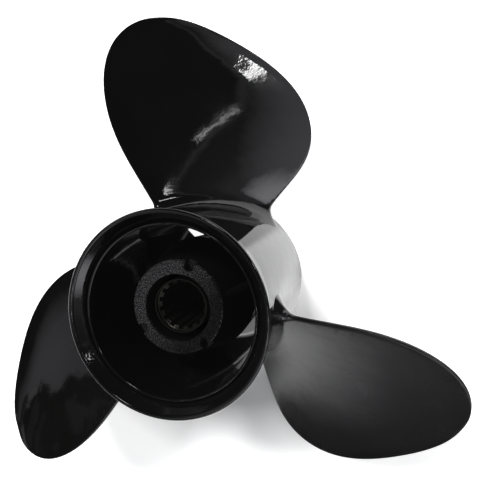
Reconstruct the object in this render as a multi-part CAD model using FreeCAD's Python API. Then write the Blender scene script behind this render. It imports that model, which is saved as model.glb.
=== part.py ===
import FreeCAD, Part
import math
import os

# Three-blade boat propeller with the engine's exhaust led through its hub.
# Millimetres.  The shaft axis is Z and +Z points aft.  The origin is the centre of the
# barrel's forward rim, and the propeller stands on that rim, so nothing is below z = 0.
# X and Y lie in the plane of rotation, and the first blade points along +Y.

V = FreeCAD.Vector
AXIS_Z = V(0, 0, 1)
ORIGIN = V(0, 0, 0)
QUARTER_MIDDLE = 1.0 - math.sqrt(0.5)    # how far in a quarter round passes its corner

# ---------------------------------------------------------------- driving dimensions
BLADES = 3
BLADE_STEP = 360.0 / BLADES

# Barrel: the outer tube of the casting, sized to a 4.75 inch (120.65 mm) gearcase.
BARREL_RIM_R = 60.3          # outside radius at the forward rim
BARREL_RIM_INNER_R = 52.0    # inside radius at the forward rim
BARREL_WAIST_R = 54.6        # outside radius where the diffuser ring starts
RIM_ROUND = 1.2              # rounding of the forward rim's outer edge
SPIGOT_START_Z = 106.0       # the ring is pressed on from here aft
SPIGOT_R = 52.0              # outside radius of the spigot under the ring
BARREL_END_Z = 125.7         # the barrel's aft lip
BARREL_END_INNER_R = 50.3    # inside radius of the aft lip

# Diffuser ring: the flared ring at the aft end of the barrel.
RING_END_Z = 132.5
RING_R = 60.0                # largest radius, on the rolled bead
BEAD_R = 1.5                 # radius of the rolled bead
RING_SKIRT_Z = 110.0         # the ring is straight up to here and flares from here aft
RING_FLARE = (55.9, 120.5)   # (radius, height) half way along the outside of the flare
RING_GROOVE_Z = 120.5        # bottom of the groove between the ring and the lip
GROOVE_WALL = (52.9, 124.5)  # half way up the groove's outer wall
GROOVE_EDGE = (54.4, 127.4)  # top of that wall, where the inside of the flare starts

# Inner hub: the core of the casting, held in the barrel by three webs.
HUB_FRONT_Z = 4.0
HUB_FRONT_R = 37.5
HUB_SHOULDER_Z = 69.5
HUB_SHOULDER_R = 38.6
HUB_END_Z = 112.3
HUB_END_R = 28.8
HUB_END_ROUND = 1.5
BUSH_BORE_R = 31.0           # bore that holds the rubber bush
BUSH_BORE_END_Z = 88.0
HUB_MOUTH_R = 20.5           # smaller mouth aft of the rubber bush

# Webs between the inner hub and the barrel.
WEB_ANGLE = 14.0             # azimuth of the first web, degrees
WEB_THICK = 5.2
WEB_FRONT_Z = 4.0
WEB_HUB_R = 29.6             # the sloping aft edge meets the inner hub here
WEB_HUB_Z = 107.8
WEB_BARREL_R = 51.0          # and the barrel's inside here
WEB_BARREL_Z = 77.2
WEB_INNER_R = 28.0           # the web's outline ends inside the inner hub's wall
WEB_BITE = 2.0               # how far a web runs into the metal that it joins
WEB_ROUND = 2.4              # rounding of the sloping edge

# Notches across the aft face of the inner hub.
NOTCH_ANGLES = (72.0, 210.0, 309.0)
NOTCH_WIDE = 6.4
NOTCH_DEEP = 5.0
NOTCH_END_R = 23.0           # the notches stop short of the mouth, with a round end

# Rubber bush and splined sleeve.
RUNNING_GAP = 0.04           # radial gap between the bush and its bore
BUSH_FRONT_Z = 12.0
BUSH_END_Z = 86.5
BUSH_CHAMFER = 1.5
SLEEVE_R = 16.9
SLEEVE_COLLAR_R = 21.0
SLEEVE_FRONT_Z = 0.0
SLEEVE_COLLAR_END_Z = 12.0
SLEEVE_END_Z = 107.3
PILOT_R = 15.6               # plain bore at the forward end of the sleeve
PILOT_END_Z = 18.0
MOUTH_R = 15.9               # shallow plain mouth at the aft end of the sleeve
MOUTH_Z = 104.8
SLEEVE_CHAMFER = 0.4
SPLINE_RUN_IN = 1.5          # length of the slope from the plain bores down to the splines
SPLINES = 15
SPLINE_MINOR_R = 13.7
SPLINE_MAJOR_R = 15.3
SPLINE_WIDE = 2.9

# Blade outline, as the control points of one cubic curve that runs up the leading edge,
# round the tip and down the trailing edge: (radius, angle from the blade's centre line).
OUTLINE = (
    (50.0, -33.5),
    (72.9, -34.0),
    (111.8, -40.3),
    (151.3, -27.6),
    (165.7, -9.1),
    (184.8, 5.9),
    (169.1, 17.7),
    (109.3, 24.8),
    (73.1, 21.8),
    (50.0, 21.3),
)

# Blade surface: a screw surface with a little rake.
PITCH_AT_100 = 440.0         # pitch at 100 mm radius
PITCH_GAIN = 22.8            # more pitch for each further 100 mm of radius
CENTRE_Z = 67.8              # height of the blade's centre line at 100 mm radius
RAKE = 15.35                 # aft rake for each further 100 mm of radius
RAKE_CURVE = -6.26
EDGE_DROOP = -10.2           # second-order change of height with angle, per radian squared
CAMBER = 0.045               # depth of the hollow aft face as a share of the chord

# Blade thickness, and the blend that runs the blade into the barrel.
ROOT_THICK = 10.5
TIP_THICK = 3.6
EDGE_THICK = 2.8
THIN_POWER = 0.75            # how the thickness falls from root to tip
BELLY_POWER = 0.8            # how the thickness rises from edge to middle
ROOT_BLEND = 12.5            # radius of the blend
BLEND_ARC = 0.85             # share of the blend that is round; nearer the barrel it is straight
BLEND_END = 1.6              # the blend goes on to this share, inside the barrel's wall

BLADE_DEPTH = 50.0           # more than the blade reaches past either end of the barrel

# Rings of points that the blade's skin runs through.
SOLE_Y = 30.0                # the blade's flat inner end, which is cut away later
INNER_RING_R = 50.0
BLEND_RING_R = 75.0
BLEND_RINGS = 10
OUTER_RINGS = 16
TIP_FLAT = 0.04              # the tip ends in a flat this far short of its full radius
SIDE_POINTS = 20


def revolve(points):
    """Solid of revolution about Z of a closed outline of (radius, z) points."""
    wire = Part.makePolygon([V(r, 0, z) for r, z in points] + [V(points[0][0], 0, points[0][1])])
    return Part.Face(wire).revolve(ORIGIN, AXIS_Z, 360)


def revolve_edges(edges):
    """Solid of revolution about Z of a closed loop of edges in the XZ plane."""
    return Part.Face(Part.Wire(edges)).revolve(ORIGIN, AXIS_Z, 360)


def line(a, b):
    return Part.makeLine(V(a[0], 0, a[1]), V(b[0], 0, b[1]))


def arc(a, middle, b):
    return Part.Arc(V(a[0], 0, a[1]), V(middle[0], 0, middle[1]), V(b[0], 0, b[1])).toShape()


def turned(shape, degrees):
    copy = shape.copy()
    copy.rotate(ORIGIN, AXIS_Z, degrees)
    return copy


def ramp(value, low, high):
    """0 below low, 1 above high, straight between."""
    return min(1.0, max(0.0, (value - low) / (high - low)))


def round_nose(distance, radius):
    """Share of full thickness at this distance in from a rounded edge."""
    short = 1.0 - min(1.0, max(0.0, distance / radius))
    return math.sqrt(max(0.0, 1.0 - short * short))


# ---------------------------------------------------------------- blade
def outline_curve():
    """The outline as a curve in (radius, degrees) space."""
    poles = [V(r, a, 0) for r, a in OUTLINE]
    spans = len(poles) - 3
    knots = [float(i) for i in range(spans + 1)]
    mults = [4] + [1] * (spans - 1) + [4]
    curve = Part.BSplineCurve()
    curve.buildFromPolesMultsKnots(poles, mults, knots, False, 3)
    return curve


def tip_parameter(curve):
    """Where the outline reaches its largest radius."""
    low = curve.FirstParameter
    high = curve.LastParameter
    for _ in range(60):
        third = (high - low) / 3.0
        if curve.value(low + third).x < curve.value(high - third).x:
            low = low + third
        else:
            high = high - third
    return 0.5 * (low + high)


def edge_angle(curve, start, tip, r):
    """Angle, in radians, where the outline between its start and the tip has this radius."""
    low = start
    high = tip
    for _ in range(60):
        middle = 0.5 * (low + high)
        if curve.value(middle).x < r:
            low = middle
        else:
            high = middle
    return math.radians(curve.value(0.5 * (low + high)).y)


def mean_z(r, angle):
    """Height of the screw surface."""
    q = (r - 100.0) / 100.0
    screw = (PITCH_AT_100 + PITCH_GAIN * q) / (2.0 * math.pi) * angle
    return CENTRE_Z + screw + RAKE * q + RAKE_CURVE * q * q + EDGE_DROOP * angle * angle


def barrel_r(z):
    """Outside radius of the barrel."""
    return BARREL_RIM_R + (BARREL_WAIST_R - BARREL_RIM_R) * ramp(z, 0.0, SPIGOT_START_Z)


def root_blend(r, z):
    """How far the blade's skin swells here to run into the barrel."""
    share = min(BLEND_END, max(0.0, 1.0 - (r - barrel_r(z)) / ROOT_BLEND))
    rounded = min(share, BLEND_ARC)
    depth = math.sqrt(1.0 - rounded * rounded)
    return ROOT_BLEND * (1.0 - depth + (share - rounded) * rounded / depth)


def blade_ring(curve, tip, r):
    """Closed ring of points round the blade, on the cylinder of this radius."""
    tip_r = curve.value(tip).x
    lead = edge_angle(curve, curve.FirstParameter, tip, r)
    trail = edge_angle(curve, curve.LastParameter, tip, r)
    lead -= root_blend(r, mean_z(r, lead)) / r
    trail += root_blend(r, mean_z(r, trail)) / r
    chord = (trail - lead) * r * math.hypot(1.0, PITCH_AT_100 / (2.0 * math.pi * r))
    body_thick = ROOT_THICK + (TIP_THICK - ROOT_THICK) * ramp(r, BARREL_RIM_R, tip_r) ** THIN_POWER
    tip_nose = round_nose(tip_r - r, EDGE_THICK)
    aft = []
    fore = []
    for i in range(SIDE_POINTS + 1):
        u = 0.5 * (1.0 - math.cos(math.pi * i / SIDE_POINTS))
        angle = lead + (trail - lead) * u
        belly = 4.0 * u * (1.0 - u)
        z = mean_z(r, angle) - CAMBER * chord * belly * tip_nose
        slope = (mean_z(r, angle + 0.001) - mean_z(r, angle - 0.001)) / (0.002 * r)
        size = math.hypot(1.0, slope)
        edge = 0.5 * EDGE_THICK + root_blend(r, z)
        half = edge * round_nose(chord * min(u, 1.0 - u), edge)
        half += 0.5 * (body_thick - EDGE_THICK) * belly ** BELLY_POWER
        half *= tip_nose
        for side, points in ((1.0, aft), (-1.0, fore)):
            turn = angle - side * half * slope / size / r
            points.append(V(-r * math.sin(turn), r * math.cos(turn), z + side * half / size))
    return list(reversed(aft)) + fore[1:]


def flattened(points, normal, distance):
    """The points moved along normal into the plane at this distance from the shaft axis."""
    return [p + normal * (distance - p.dot(normal)) for p in points]


def make_blade():
    """One blade along +Y, running down through the barrel's wall."""
    curve = outline_curve()
    tip = tip_parameter(curve)
    end = curve.value(tip)
    end_r = end.x - TIP_FLAT
    tip_way = V(-math.sin(math.radians(end.y)), math.cos(math.radians(end.y)), 0)
    radii = [INNER_RING_R + (BLEND_RING_R - INNER_RING_R) * i / BLEND_RINGS for i in range(BLEND_RINGS)]
    for i in range(OUTER_RINGS):
        radii.append(BLEND_RING_R + (end_r - BLEND_RING_R) * math.sin(0.5 * math.pi * i / OUTER_RINGS))
    rings = [blade_ring(curve, tip, r) for r in radii]
    rings.append(flattened(blade_ring(curve, tip, end_r), tip_way, end_r))
    skin = Part.BSplineSurface()
    skin.interpolate(rings)
    first, last = skin.bounds()[0:2]
    root = skin.uIso(first)
    foot = skin.uIso(first)
    for i, pole in enumerate(flattened(root.getPoles(), V(0, 1, 0), SOLE_Y)):
        foot.setPole(i + 1, pole)
    collar = Part.makeRuledSurface(root.toShape(), foot.toShape())
    sole = Part.Face(Part.Wire([foot.toShape()]))
    tip_face = Part.Face(Part.Wire([skin.uIso(last).toShape()]))
    shell = Part.makeShell([skin.toShape(), collar, sole, tip_face])
    shell.sewShape()
    blade = Part.Solid(shell)
    if blade.Volume < 0:
        blade.reverse()
    return blade


# ---------------------------------------------------------------- casting
def make_barrel():
    lip = 0.5 * (SPIGOT_R - BARREL_END_INNER_R)
    inner = (BARREL_END_INNER_R, BARREL_END_Z - lip)
    edges = [
        line((BARREL_RIM_INNER_R, 0), (BARREL_RIM_R - RIM_ROUND, 0)),
        arc((BARREL_RIM_R - RIM_ROUND, 0),
            (BARREL_RIM_R - QUARTER_MIDDLE * RIM_ROUND, QUARTER_MIDDLE * RIM_ROUND),
            (BARREL_RIM_R, RIM_ROUND)),
        line((BARREL_RIM_R, RIM_ROUND), (BARREL_WAIST_R, SPIGOT_START_Z)),
        line((BARREL_WAIST_R, SPIGOT_START_Z), (SPIGOT_R, SPIGOT_START_Z)),
        line((SPIGOT_R, SPIGOT_START_Z), (SPIGOT_R, BARREL_END_Z - lip)),
        arc((SPIGOT_R, BARREL_END_Z - lip), (SPIGOT_R - lip, BARREL_END_Z), inner),
        line(inner, (BARREL_RIM_INNER_R, 0)),
    ]
    return revolve_edges(edges)


def barrel_filling():
    """Everything inside the middle of the barrel's wall, and some way past both its ends."""
    front_r = 0.5 * (BARREL_RIM_R + BARREL_RIM_INNER_R)
    end_r = 0.5 * (SPIGOT_R + BARREL_END_INNER_R)
    return revolve([
        (0, -BLADE_DEPTH),
        (front_r, -BLADE_DEPTH),
        (front_r, 0),
        (end_r, SPIGOT_START_Z),
        (end_r, RING_END_Z),
        (0, RING_END_Z),
    ])


def make_inner_hub():
    edge = HUB_END_R - HUB_END_ROUND
    inset = QUARTER_MIDDLE * HUB_END_ROUND
    corner = (HUB_END_R - inset, HUB_END_Z - inset)
    edges = [
        line((BUSH_BORE_R, HUB_FRONT_Z), (HUB_FRONT_R, HUB_FRONT_Z)),
        line((HUB_FRONT_R, HUB_FRONT_Z), (HUB_SHOULDER_R, HUB_SHOULDER_Z)),
        line((HUB_SHOULDER_R, HUB_SHOULDER_Z), (HUB_END_R, HUB_END_Z - HUB_END_ROUND)),
        arc((HUB_END_R, HUB_END_Z - HUB_END_ROUND), corner, (edge, HUB_END_Z)),
        line((edge, HUB_END_Z), (HUB_MOUTH_R, HUB_END_Z)),
        line((HUB_MOUTH_R, HUB_END_Z), (HUB_MOUTH_R, BUSH_BORE_END_Z)),
        line((HUB_MOUTH_R, BUSH_BORE_END_Z), (BUSH_BORE_R, BUSH_BORE_END_Z)),
        line((BUSH_BORE_R, BUSH_BORE_END_Z), (BUSH_BORE_R, HUB_FRONT_Z)),
    ]
    hub = revolve_edges(edges)
    floor_z = HUB_END_Z - NOTCH_DEEP
    centre_r = NOTCH_END_R + 0.5 * NOTCH_WIDE
    slot = Part.makeBox(HUB_END_R, NOTCH_WIDE, 2 * NOTCH_DEEP, V(centre_r, -0.5 * NOTCH_WIDE, floor_z))
    notch = slot.fuse(Part.makeCylinder(0.5 * NOTCH_WIDE, 2 * NOTCH_DEEP, V(centre_r, 0, floor_z)))
    notches = [turned(notch, angle) for angle in NOTCH_ANGLES]
    return hub.cut(notches)


def make_web():
    """One web along +X, with its sloping aft edge rounded."""
    half = 0.5 * WEB_THICK
    slope = (WEB_BARREL_Z - WEB_HUB_Z) / (WEB_BARREL_R - WEB_HUB_R)
    front_r = BUSH_BORE_R + 0.5 * WEB_BITE
    outer_r = BARREL_RIM_R + WEB_BITE
    corners = [
        (front_r, WEB_FRONT_Z),
        (outer_r, WEB_FRONT_Z),
        (outer_r, WEB_HUB_Z + slope * (outer_r - WEB_HUB_R)),
        (WEB_INNER_R, WEB_HUB_Z + slope * (WEB_INNER_R - WEB_HUB_R)),
        (WEB_INNER_R, BUSH_BORE_END_Z),
        (front_r, HUB_SHOULDER_Z),
    ]
    wire = Part.makePolygon([V(x, -half, z) for x, z in corners + corners[:1]])
    web = Part.Face(wire).extrude(V(0, WEB_THICK, 0))
    sloping = []
    for edge in web.Edges:
        a = edge.Vertexes[0].Point
        b = edge.Vertexes[-1].Point
        if min(a.z, b.z) > WEB_FRONT_Z + 1.0 and max(a.x, b.x) > outer_r - 1.0 and abs(a.x - b.x) > 1.0:
            sloping.append(edge)
    return web.makeFillet(WEB_ROUND, sloping)


def make_casting():
    filling = barrel_filling()
    core = Part.makeCylinder(BUSH_BORE_R + WEB_BITE, BUSH_BORE_END_Z - HUB_FRONT_Z, V(0, 0, HUB_FRONT_Z))
    web = make_web().common(filling).cut(core)
    below = Part.makeBox(4 * RING_R, 4 * RING_R, BLADE_DEPTH, V(-2 * RING_R, -2 * RING_R, -BLADE_DEPTH))
    blade = make_blade().cut([filling, below])
    pieces = [make_inner_hub()]
    pieces += [turned(web, WEB_ANGLE + BLADE_STEP * k) for k in range(BLADES)]
    pieces += [turned(blade, BLADE_STEP * k) for k in range(BLADES)]
    return make_barrel().fuse(pieces)


# ---------------------------------------------------------------- ring, bush and sleeve
def make_ring():
    bead_z = RING_END_Z - BEAD_R
    bead_in = RING_R - 2 * BEAD_R
    edges = [
        line((SPIGOT_R, SPIGOT_START_Z), (BARREL_WAIST_R, SPIGOT_START_Z)),
        line((BARREL_WAIST_R, SPIGOT_START_Z), (BARREL_WAIST_R, RING_SKIRT_Z)),
        arc((BARREL_WAIST_R, RING_SKIRT_Z), RING_FLARE, (RING_R, bead_z)),
        arc((RING_R, bead_z), (RING_R - BEAD_R, RING_END_Z), (bead_in, bead_z)),
        line((bead_in, bead_z), GROOVE_EDGE),
        arc(GROOVE_EDGE, GROOVE_WALL, (SPIGOT_R, RING_GROOVE_Z)),
        line((SPIGOT_R, RING_GROOVE_Z), (SPIGOT_R, SPIGOT_START_Z)),
    ]
    return revolve_edges(edges)


def make_bush():
    outer = BUSH_BORE_R - RUNNING_GAP
    return revolve([
        (SLEEVE_R, BUSH_FRONT_Z),
        (outer - BUSH_CHAMFER, BUSH_FRONT_Z),
        (outer, BUSH_FRONT_Z + BUSH_CHAMFER),
        (outer, BUSH_END_Z - BUSH_CHAMFER),
        (outer - BUSH_CHAMFER, BUSH_END_Z),
        (SLEEVE_R, BUSH_END_Z),
    ])


def make_sleeve():
    body = revolve([
        (SPLINE_MINOR_R, PILOT_END_Z + SPLINE_RUN_IN),
        (PILOT_R, PILOT_END_Z),
        (PILOT_R, SLEEVE_FRONT_Z),
        (SLEEVE_COLLAR_R, SLEEVE_FRONT_Z),
        (SLEEVE_COLLAR_R, SLEEVE_COLLAR_END_Z),
        (SLEEVE_R, SLEEVE_COLLAR_END_Z),
        (SLEEVE_R, SLEEVE_END_Z - SLEEVE_CHAMFER),
        (SLEEVE_R - SLEEVE_CHAMFER, SLEEVE_END_Z),
        (MOUTH_R, SLEEVE_END_Z),
        (MOUTH_R, MOUTH_Z),
        (SPLINE_MINOR_R, MOUTH_Z - SPLINE_RUN_IN),
    ])
    long = MOUTH_Z - PILOT_END_Z
    groove = Part.makeBox(SPLINE_MAJOR_R, SPLINE_WIDE, long, V(0, -0.5 * SPLINE_WIDE, PILOT_END_Z))
    grooves = [turned(groove, 360.0 / SPLINES * k) for k in range(SPLINES)]
    return body.cut(grooves)


os.makedirs("parts", exist_ok=True)
NODES = {
    "propeller_casting": make_casting(),
    "diffuser_ring": make_ring(),
    "rubber_bush": make_bush(),
    "splined_sleeve": make_sleeve(),
}
for name, shape in NODES.items():
    if len(shape.Solids) == 1:
        shape = shape.Solids[0]
    print(name, "solids", len(shape.Solids), "valid", shape.isValid())
    shape.exportStep("parts/" + name + ".step")
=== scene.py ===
import bpy
import math
from mathutils import Matrix, Vector


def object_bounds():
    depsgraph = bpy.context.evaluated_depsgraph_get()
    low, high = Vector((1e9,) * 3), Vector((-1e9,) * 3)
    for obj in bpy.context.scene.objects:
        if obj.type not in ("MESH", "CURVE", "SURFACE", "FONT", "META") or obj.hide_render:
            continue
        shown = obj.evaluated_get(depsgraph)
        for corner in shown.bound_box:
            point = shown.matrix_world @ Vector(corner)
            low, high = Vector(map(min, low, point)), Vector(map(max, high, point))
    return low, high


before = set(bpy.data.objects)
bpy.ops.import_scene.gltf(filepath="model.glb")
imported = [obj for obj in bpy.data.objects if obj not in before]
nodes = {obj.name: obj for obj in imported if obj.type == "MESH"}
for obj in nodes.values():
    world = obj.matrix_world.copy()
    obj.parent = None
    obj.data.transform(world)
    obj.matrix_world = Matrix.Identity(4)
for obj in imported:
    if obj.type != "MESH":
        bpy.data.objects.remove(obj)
cad_low, cad_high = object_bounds()

# Lengths are metres in the CAD frame.  Z is the shaft axis with the aft end up, and the first
# blade points along Y.  A brightness of 1.0 is white.
ALONG_X = (1.0, 0.0, 0.0)
ALONG_Y = (0.0, 1.0, 0.0)
ALONG_Z = (0.0, 0.0, 1.0)
AGAINST_Y = (0.0, -1.0, 0.0)
WHITE = (1.0, 1.0, 1.0)


# ---------------------------------------------------------------- node helpers
def fill(tree, node, values):
    """Puts a number, a colour or another node's output into each of these inputs of a node."""
    for name, value in values.items():
        entry = node.inputs[name]
        if isinstance(value, float):
            entry.default_value = value
        elif isinstance(value, tuple):
            entry.default_value = (*value, 1.0)
        else:
            tree.links.new(value, entry)


def arithmetic(tree, operation, first, second):
    """The result of a maths operation on two values."""
    node = tree.nodes.new("ShaderNodeMath")
    node.operation = operation
    fill(tree, node, {0: first, 1: second})
    return node.outputs["Value"]


def product(tree, first, *others):
    """All the values multiplied together."""
    for value in others:
        first = arithmetic(tree, "MULTIPLY", first, value)
    return first


def total(tree, first, *others):
    """All the values added up."""
    for value in others:
        first = arithmetic(tree, "ADD", first, value)
    return first


def spread(tree, value, source, target=(0.0, 1.0)):
    """Maps a value from the source range to the target range, and holds it at the ends."""
    node = tree.nodes.new("ShaderNodeMapRange")
    fill(tree, node, {"Value": value, "From Min": source[0], "From Max": source[1],
                      "To Min": target[0], "To Max": target[1]})
    return node.outputs["Result"]


def opposite(tree, share):
    """1 where share is 0, and 0 where it is 1."""
    return spread(tree, share, (0.0, 1.0), (1.0, 0.0))


def place_on_object(tree):
    """The place on the surface, in the object's own metres."""
    return tree.nodes.new("ShaderNodeTexCoord").outputs["Object"]


def noise(tree, place, scale, detail=2.0):
    """Cloudy noise, with scale in cells for each unit of place."""
    node = tree.nodes.new("ShaderNodeTexNoise")
    fill(tree, node, {"Vector": place, "Scale": scale, "Detail": detail})
    return node.outputs["Fac"]


def surface_noise(tree, scale, detail=2.0):
    """Noise on a surface, with scale in cells per metre."""
    return noise(tree, place_on_object(tree), scale, detail)


def along(tree, place, way):
    """How far place lies along this way."""
    node = tree.nodes.new("ShaderNodeVectorMath")
    node.operation = "DOT_PRODUCT"
    node.inputs[1].default_value = way
    fill(tree, node, {0: place})
    return node.outputs["Value"]


def side_of(tree, way, fade):
    """Rises from 0 to 1 over the fade range, measured from the origin along this way."""
    return spread(tree, along(tree, place_on_object(tree), way), fade)


def near_axis(tree, fade):
    """Drops from 1 to 0 over the fade range, measured from the shaft axis."""
    flat = tree.nodes.new("ShaderNodeVectorMath")
    flat.operation = "MULTIPLY"
    flat.inputs[1].default_value = (1.0, 1.0, 0.0)
    fill(tree, flat, {0: place_on_object(tree)})
    radius = tree.nodes.new("ShaderNodeVectorMath")
    radius.operation = "LENGTH"
    fill(tree, radius, {0: flat.outputs["Vector"]})
    return spread(tree, radius.outputs["Value"], fade, (1.0, 0.0))


def mixed(tree, share, first, second):
    """A colour that is first where share is 0 and second where it is 1."""
    node = tree.nodes.new("ShaderNodeMix")
    node.data_type = "RGBA"
    fill(tree, node, {0: share, 6: first, 7: second})
    return node.outputs[2]


def bump(tree, height, distance, below=None):
    """A bump of this height, on top of another bump if one is given."""
    node = tree.nodes.new("ShaderNodeBump")
    fill(tree, node, {"Strength": 1.0, "Distance": distance, "Height": height})
    if below is not None:
        fill(tree, node, {"Normal": below})
    return node.outputs["Normal"]


def new_material(name):
    """A material with an empty node tree, its output and one principled shader."""
    material = bpy.data.materials.new(name)
    material.use_nodes = True
    tree = material.node_tree
    tree.nodes.clear()
    output = tree.nodes.new("ShaderNodeOutputMaterial")
    shader = tree.nodes.new("ShaderNodeBsdfPrincipled")
    tree.links.new(shader.outputs["BSDF"], output.inputs["Surface"])
    return material, tree, shader


# ---------------------------------------------------------------- materials of the propeller
HAZE = 0.0018                    # glow that keeps the deepest black just off zero
CLOUD_MIDDLE = (0.3, 0.7)        # the range in which most noise falls

# The hub's cast end face.  One side is gritty and speckled, with a lighter tone painted where
# light falls; the remainder has dull spots that darken it as painted shade.
HUB_FACE_EDGE = (0.0292, 0.0296)
HUB_FACE_HEIGHT = (0.1095, 0.1100)
LIT_GRAIN_WAY = (-0.8, 0.6, 0.0)
LIT_GRAIN_FADE = (-0.016, 0.018)
GRAIN_ROUGHNESS = 0.30
GRAIN_HEIGHT = 0.0010
# The remainder of the end face gets only this share of the specks, so it stays darker as painted
# shade.
SPECKS_ON_SHADED_REST = 0.10              # share of the grainy side's dust

# The blade at the right of the camera, whose paint is drier.
DRY_WAY = (0.87, -0.5, 0.0)
DRY_FADE = (0.050, 0.065)
DRY_ROUGHNESS = 0.20

DEEP_BLACK = (0.0010, 0.0010, 0.0011)
SOFT_BLACK = (0.0028, 0.0028, 0.0030)
DUST_AND_LIGHT_GREY = (0.055, 0.055, 0.058)
WAVE_HEIGHT = 0.00013
FINE_PEEL = 0.000015
COARSE_PEEL = 0.00006

DARK_RUBBER = (0.010, 0.010, 0.010)
PALE_RUBBER = (0.030, 0.029, 0.028)
DARK_BRASS = (0.007, 0.0068, 0.006)
PALE_BRASS = (0.028, 0.0265, 0.022)


def gloss_paint(name, peel_height):
    """Thick gloss black paint with an orange-peel skin.  It is drier and duller on one blade.
    On the hub's end face one side is rough and dusty, with a lighter tone painted where light
    falls, and the remainder has dull spots as painted shade."""
    material, tree, shader = new_material(name)
    cloud = surface_noise(tree, 35.0, 3.0)
    end_face = product(tree, near_axis(tree, HUB_FACE_EDGE),
                       side_of(tree, ALONG_Z, HUB_FACE_HEIGHT))
    # The lit side of the end face: gritty and speckled, and lighter as painted light.
    lit_grain_side = product(tree, end_face, side_of(tree, LIT_GRAIN_WAY, LIT_GRAIN_FADE))
    shaded_face_rest = arithmetic(tree, "SUBTRACT", end_face, lit_grain_side)

    black = mixed(tree, cloud, DEEP_BLACK, SOFT_BLACK)
    specks = spread(tree, surface_noise(tree, 1300.0, 3.0), (0.50, 0.64))
    # Pale grey specks, full on the lit side and few elsewhere: partly real specks, partly
    # painted light.
    dust_and_painted_light = product(tree, total(tree, lit_grain_side, product(tree, shaded_face_rest, SPECKS_ON_SHADED_REST)), specks)

    gloss = spread(tree, cloud, CLOUD_MIDDLE, (0.035, 0.09))
    dry = product(tree, side_of(tree, DRY_WAY, DRY_FADE), DRY_ROUGHNESS)
    rough = total(tree, gloss, dry, product(tree, lit_grain_side, GRAIN_ROUGHNESS))

    # Dull spots on the remainder of the end face lower its gloss, as painted shade.
    dull_spots_as_shade = spread(tree, surface_noise(tree, 1100.0, 3.0), (0.47, 0.62), (1.0, 0.0))
    shine_with_painted_shade = spread(tree, product(tree, shaded_face_rest, dull_spots_as_shade), (0.0, 1.0), (0.5, 0.06))

    waves = bump(tree, surface_noise(tree, 80.0, 1.5), WAVE_HEIGHT)
    peel = bump(tree, surface_noise(tree, 700.0, 1.5), peel_height, waves)
    grain = product(tree, lit_grain_side, surface_noise(tree, 900.0, 4.0))
    fill(tree, shader, {
        "Base Color": mixed(tree, dust_and_painted_light, black, DUST_AND_LIGHT_GREY),
        "Roughness": rough,
        "IOR": 1.5,
        "Specular IOR Level": shine_with_painted_shade,
        "Normal": bump(tree, grain, GRAIN_HEIGHT, peel),
        "Emission Color": WHITE,
        "Emission Strength": HAZE,
    })
    return material


def rubber(name):
    """Dull black rubber."""
    material, tree, shader = new_material(name)
    cloud = surface_noise(tree, 200.0, 4.0)
    fill(tree, shader, {
        "Base Color": mixed(tree, cloud, DARK_RUBBER, PALE_RUBBER),
        "Roughness": spread(tree, cloud, CLOUD_MIDDLE, (0.55, 0.8)),
        "Normal": bump(tree, surface_noise(tree, 1500.0, 3.0), 0.00008),
    })
    return material


def sleeve_metal(name):
    """Brass, darkened with age and black overspray."""
    material, tree, shader = new_material(name)
    cloud = surface_noise(tree, 120.0, 4.0)
    fill(tree, shader, {
        "Base Color": mixed(tree, cloud, DARK_BRASS, PALE_BRASS),
        "Roughness": spread(tree, cloud, CLOUD_MIDDLE, (0.25, 0.5)),
        "Normal": bump(tree, surface_noise(tree, 1200.0, 2.0), 0.00004),
        "Metallic": 0.85,
        "Emission Color": WHITE,
        "Emission Strength": HAZE,
    })
    return material


def dress(name, material):
    """Gives a CAD node its material."""
    slots = nodes[name].data.materials
    slots.clear()
    slots.append(material)


dress("propeller_casting", gloss_paint("gloss_black_paint", FINE_PEEL))
dress("diffuser_ring", gloss_paint("ring_paint", COARSE_PEEL))
dress("rubber_bush", rubber("black_rubber"))
dress("splined_sleeve", sleeve_metal("sleeve_metal"))

# ---------------------------------------------------------------- floor
FLOOR_HALF = 30.0
PALE_WHITE = (0.86, 0.86, 0.87)
FULL_WHITE = (0.90, 0.90, 0.90)
# Painted dark reflection on the floor, seen only in reflections.
REFLECTED_DARK_BLACK = (0.02, 0.02, 0.02)
PATCH_FADE_X = (0.100, 0.125)
PATCH_FADE_Y = (-0.060, -0.030)

# Radii over which the floor round the barrel changes.
BARREL_MOUTH = (0.050, 0.055)
BARREL_FOOT = (0.078, 0.092)
NEARBY = (0.110, 0.170)

# The glow of each part of the floor, painted light and shade, and on which side of the barrel it
# is.
EVEN_GLOW = 0.62
BESIDE_GLOW = 0.25
BESIDE_WAY = (0.8, 0.6, 0.0)
BESIDE_FADE = (0.045, 0.060)
FOOT_GLOW = 0.65
FOOT_FADE = (-0.005, 0.015)
SHADOW_WAY = (0.3, -0.95, 0.0)
SHADOW_FADE = (0.02, 0.09)
OPENING_GLOW = (0.13, 1.0)       # through the barrel's near opening, and its far one
OPENING_FADE = (-0.02, 0.02)


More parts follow.
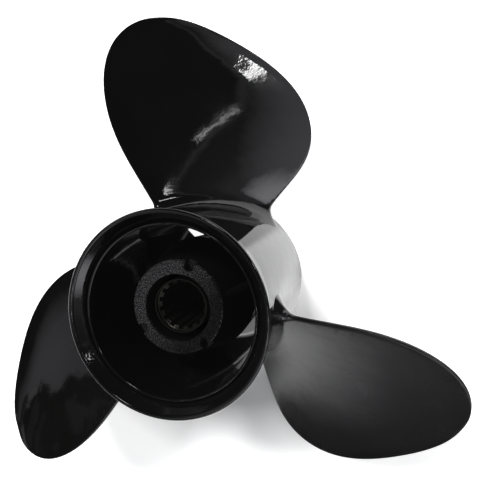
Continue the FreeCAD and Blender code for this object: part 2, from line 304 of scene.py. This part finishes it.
def floor_glow(tree, ray, painted_dark_reflection):
    """How much light the table top gives off.  It is even, with a painted shadow where the
    ring's shadow falls and a painted pool of light beside the barrel.
    Inside the barrel only the camera sees any, as painted light through the openings.
    Reflections see a painted bright strip at the barrel's foot, and none from the dark patch."""
    inside = near_axis(tree, BARREL_MOUTH)
    nearby = near_axis(tree, NEARBY)
    # A painted shadow where the ring's shadow falls.
    shadow = product(tree, nearby, side_of(tree, SHADOW_WAY, SHADOW_FADE))
    covered = arithmetic(tree, "MAXIMUM", shadow, inside)
    even = spread(tree, covered, (0.0, 1.0), (EVEN_GLOW, 0.0))
    # A painted pool of light beside the barrel.
    beside = product(tree, nearby, side_of(tree, BESIDE_WAY, BESIDE_FADE), BESIDE_GLOW)
    # A painted bright strip at the barrel's foot, seen only in reflections.
    foot = product(tree, near_axis(tree, BARREL_FOOT), side_of(tree, AGAINST_Y, FOOT_FADE),
                   opposite(tree, inside), ray["Is Glossy Ray"], FOOT_GLOW)
    outside = product(tree, total(tree, even, beside, foot), opposite(tree, painted_dark_reflection))
    # Painted light through the barrel's openings, seen only by the camera.
    opening = spread(tree, side_of(tree, ALONG_Y, OPENING_FADE), (0.0, 1.0), OPENING_GLOW)
    return total(tree, outside, product(tree, inside, ray["Is Camera Ray"], opening))


def white_floor(name):
    """White table top with a painted glow of its own, and a painted dark reflection: a patch
    that looks dark in reflections only.
    """
    material, tree, shader = new_material(name)
    ray = tree.nodes.new("ShaderNodeLightPath").outputs
    # A painted dark reflection: black that only reflections see, to the right of the barrel.
    painted_dark_reflection = product(tree, side_of(tree, ALONG_X, PATCH_FADE_X),
                         side_of(tree, AGAINST_Y, PATCH_FADE_Y), ray["Is Glossy Ray"])
    white = mixed(tree, surface_noise(tree, 3.0), PALE_WHITE, FULL_WHITE)
    fill(tree, shader, {
        "Base Color": mixed(tree, painted_dark_reflection, white, REFLECTED_DARK_BLACK),
        "Roughness": 0.6,
        "Emission Color": WHITE,
        "Emission Strength": floor_glow(tree, ray, painted_dark_reflection),
    })
    return material


def make_floor():
    mesh = bpy.data.meshes.new("floor")
    h = FLOOR_HALF
    z = cad_low.z
    mesh.from_pydata([(-h, -h, z), (h, -h, z), (h, h, z), (-h, h, z)], [], [(0, 1, 2, 3)])
    mesh.materials.append(white_floor("white_floor"))
    floor = bpy.data.objects.new("floor", mesh)
    bpy.context.scene.collection.objects.link(floor)


# ---------------------------------------------------------------- room
# The paint reflects a room of its own.  RISE is the way up in it, which leans towards the top of
# the picture.  ROOM is its brightness at heights from -1, straight down, to 1, straight up.
RISE = (0.24, 0.635, 0.734)
ROOM_BOTTOM = (0.8, 0.8, 0.8)
ROOM_TOP = (0.008, 0.008, 0.009)
ROOM = (
    (-0.70, 0.72),
    (-0.58, 0.36),
    (-0.45, 0.14),
    (-0.25, 0.12),
    (0.05, 0.32),
    (0.25, 0.28),
    (0.40, 0.14),
    (0.60, 0.08),
    (0.625, 0.35),
    (0.65, 0.03),
)
ROOM_BLUE = 1.06                 # how much stronger blue is than red and green

# Four pale patches in that room and a dark one: the way to the middle of each, how wide it is as
# the cosine at its edge, and how bright it is.
PATCHES = (
    ((0.46, -0.68, 0.57), 0.84, 1.00),
    ((-0.70, 0.33, 0.63), 0.92, 0.55),
    ((0.72, -0.68, 0.12), 0.94, 3.00),
    ((-0.46, -0.87, -0.15), 0.94, 1.20),
    ((-0.80, -0.59, -0.08), 0.92, 0.05),
)

# The dark corner at the camera's left, and the things that clutter it.
CORNER_FADE_X = (-0.60, -0.50)
CORNER_FADE_FAR = (0.29, 0.31)
CORNER_FADE_NEAR = (-0.60, -0.40)
CORNER_RAGGED = (-0.15, 0.15)
DARK_THINGS = (0.020, 0.018, 0.011)
PALE_THINGS = (0.090, 0.090, 0.095)

SOFT_LIGHT = (0.22, 0.225, 0.23)     # lights the rough surfaces
BACKDROP = (0.93, 0.935, 0.94)       # what the camera sees past the floor


def room_light(level):
    """The colour of a part of the room that is this bright."""
    return (level, level, level * ROOM_BLUE)


def room_by_height(tree, way):
    """Colour of the reflected room, by height alone."""
    ramp = tree.nodes.new("ShaderNodeValToRGB")
    stops = ramp.color_ramp.elements
    stops[0].color = (*ROOM_BOTTOM, 1.0)
    stops[1].color = (*ROOM_TOP, 1.0)
    for height, level in ROOM:
        stop = stops.new(0.5 + 0.5 * height)
        stop.color = (*room_light(level), 1.0)
    fill(tree, ramp, {"Fac": spread(tree, along(tree, way, RISE), (-1.0, 1.0))})
    return ramp.outputs["Color"]


def dark_corner(tree, way):
    """1 towards the dark corner, and 0 elsewhere.  The corner's far edge is ragged."""
    parts = tree.nodes.new("ShaderNodeSeparateXYZ")
    fill(tree, parts, {"Vector": way})
    ragged = spread(tree, noise(tree, way, 5.0), (0.0, 1.0), CORNER_RAGGED)
    left = spread(tree, parts.outputs["X"], CORNER_FADE_X, (1.0, 0.0))
    far = spread(tree, total(tree, parts.outputs["Y"], ragged), CORNER_FADE_FAR, (1.0, 0.0))
    near = spread(tree, parts.outputs["Y"], CORNER_FADE_NEAR)
    return product(tree, left, far, near)


def make_world():
    """A pale backdrop with soft light, and a dimmer room that only reflections see."""
    world = bpy.data.worlds.new("room")
    bpy.context.scene.world = world
    world.use_nodes = True
    tree = world.node_tree
    way = tree.nodes.new("ShaderNodeTexCoord").outputs["Generated"]
    room = room_by_height(tree, way)
    for middle, rim, level in PATCHES:
        share = spread(tree, along(tree, way, middle), (rim, 1.0))
        room = mixed(tree, share, room, room_light(level))
    things = spread(tree, noise(tree, way, 9.0), (0.53, 0.57))
    clutter = mixed(tree, things, DARK_THINGS, PALE_THINGS)
    room = mixed(tree, dark_corner(tree, way), room, clutter)
    ray = tree.nodes.new("ShaderNodeLightPath").outputs
    colour = mixed(tree, ray["Is Glossy Ray"], SOFT_LIGHT, room)
    colour = mixed(tree, ray["Is Camera Ray"], colour, BACKDROP)
    fill(tree, tree.nodes["Background"], {"Color": colour, "Strength": 1.0})


# ---------------------------------------------------------------- lamps and camera
# Where the lamps point.
ORIGIN = (0.0, 0.0, 0.0)
FIRST_BLADE_TIP = (0.037, 0.147, 0.055)
FIRST_BLADE_MIDDLE = (0.014, 0.118, 0.06)
FIRST_BLADE_ROOT = (-0.016, 0.074, 0.08)
RING_EDGE = (-0.05, -0.03, 0.13)
HUB_TOP = (0.0, 0.0, 0.1)

CAMERA_PLACE = (0.1042, 0.0647, 0.3563)
CAMERA_TARGET = (0.0203, 0.0312, 0.0182)
CAMERA_ROLL = -1.43              # degrees
SENSOR_WIDTH = 36.0              # millimetres, as is the lens
LENS = 32.77


def aim(obj, place, target, roll):
    """Puts obj at place, looking at target with Y up, then turned by roll degrees."""
    look = (Vector(target) - Vector(place)).normalized()
    right = look.cross(Vector(ALONG_Y)).normalized()
    up = right.cross(look)
    turn = Matrix((right, up, -look)).transposed() @ Matrix.Rotation(math.radians(roll), 3, "Z")
    obj.matrix_world = Matrix.Translation(place) @ turn.to_4x4()


def area_light(name, place, target, size, watts, roll=0.0):
    """A lamp of this width and height."""
    data = bpy.data.lights.new(name, "AREA")
    data.shape = "RECTANGLE"
    data.size = size[0]
    data.size_y = size[1]
    data.energy = watts
    light = bpy.data.objects.new(name, data)
    bpy.context.scene.collection.objects.link(light)
    aim(light, place, target, roll)
    return light


def make_lights():
    """Three soft lights, and the lamps and windows that the paint mirrors."""
    key = area_light("key", (-0.75, 1.75, 2.3), ORIGIN, (0.9, 0.7), 110.0)
    key.visible_glossy = False
    area_light("glint", (0.35, 1.85, 2.1), ORIGIN, (0.5, 0.35), 10.0)
    area_light("fill", (0.2, -2.0, 1.9), ORIGIN, (1.4, 1.0), 5.0)
    area_light("lamp", (0.829, -0.577, 1.747), FIRST_BLADE_TIP, (0.68, 0.018), 2.2, 59.0)
    area_light("strip", (1.271, 0.010, 1.267), FIRST_BLADE_MIDDLE, (0.37, 0.025), 0.20, 45.0)
    area_light("window", (1.53, 0.33, 0.94), FIRST_BLADE_ROOT, (0.05, 0.05), 0.10)
    area_light("far_window", (1.31, 0.684, 0.861), RING_EDGE, (0.25, 0.10), 1.2)
    area_light("top_left", (-0.97, -0.25, 1.96), HUB_TOP, (0.42, 0.45), 0.6)


def make_camera():
    data = bpy.data.cameras.new("camera")
    data.sensor_width = SENSOR_WIDTH
    data.lens = LENS
    camera = bpy.data.objects.new("camera", data)
    bpy.context.scene.collection.objects.link(camera)
    aim(camera, CAMERA_PLACE, CAMERA_TARGET, CAMERA_ROLL)
    bpy.context.scene.camera = camera


make_floor()
make_world()
make_lights()
make_camera()
bpy.context.scene.view_settings.view_transform = "Standard"
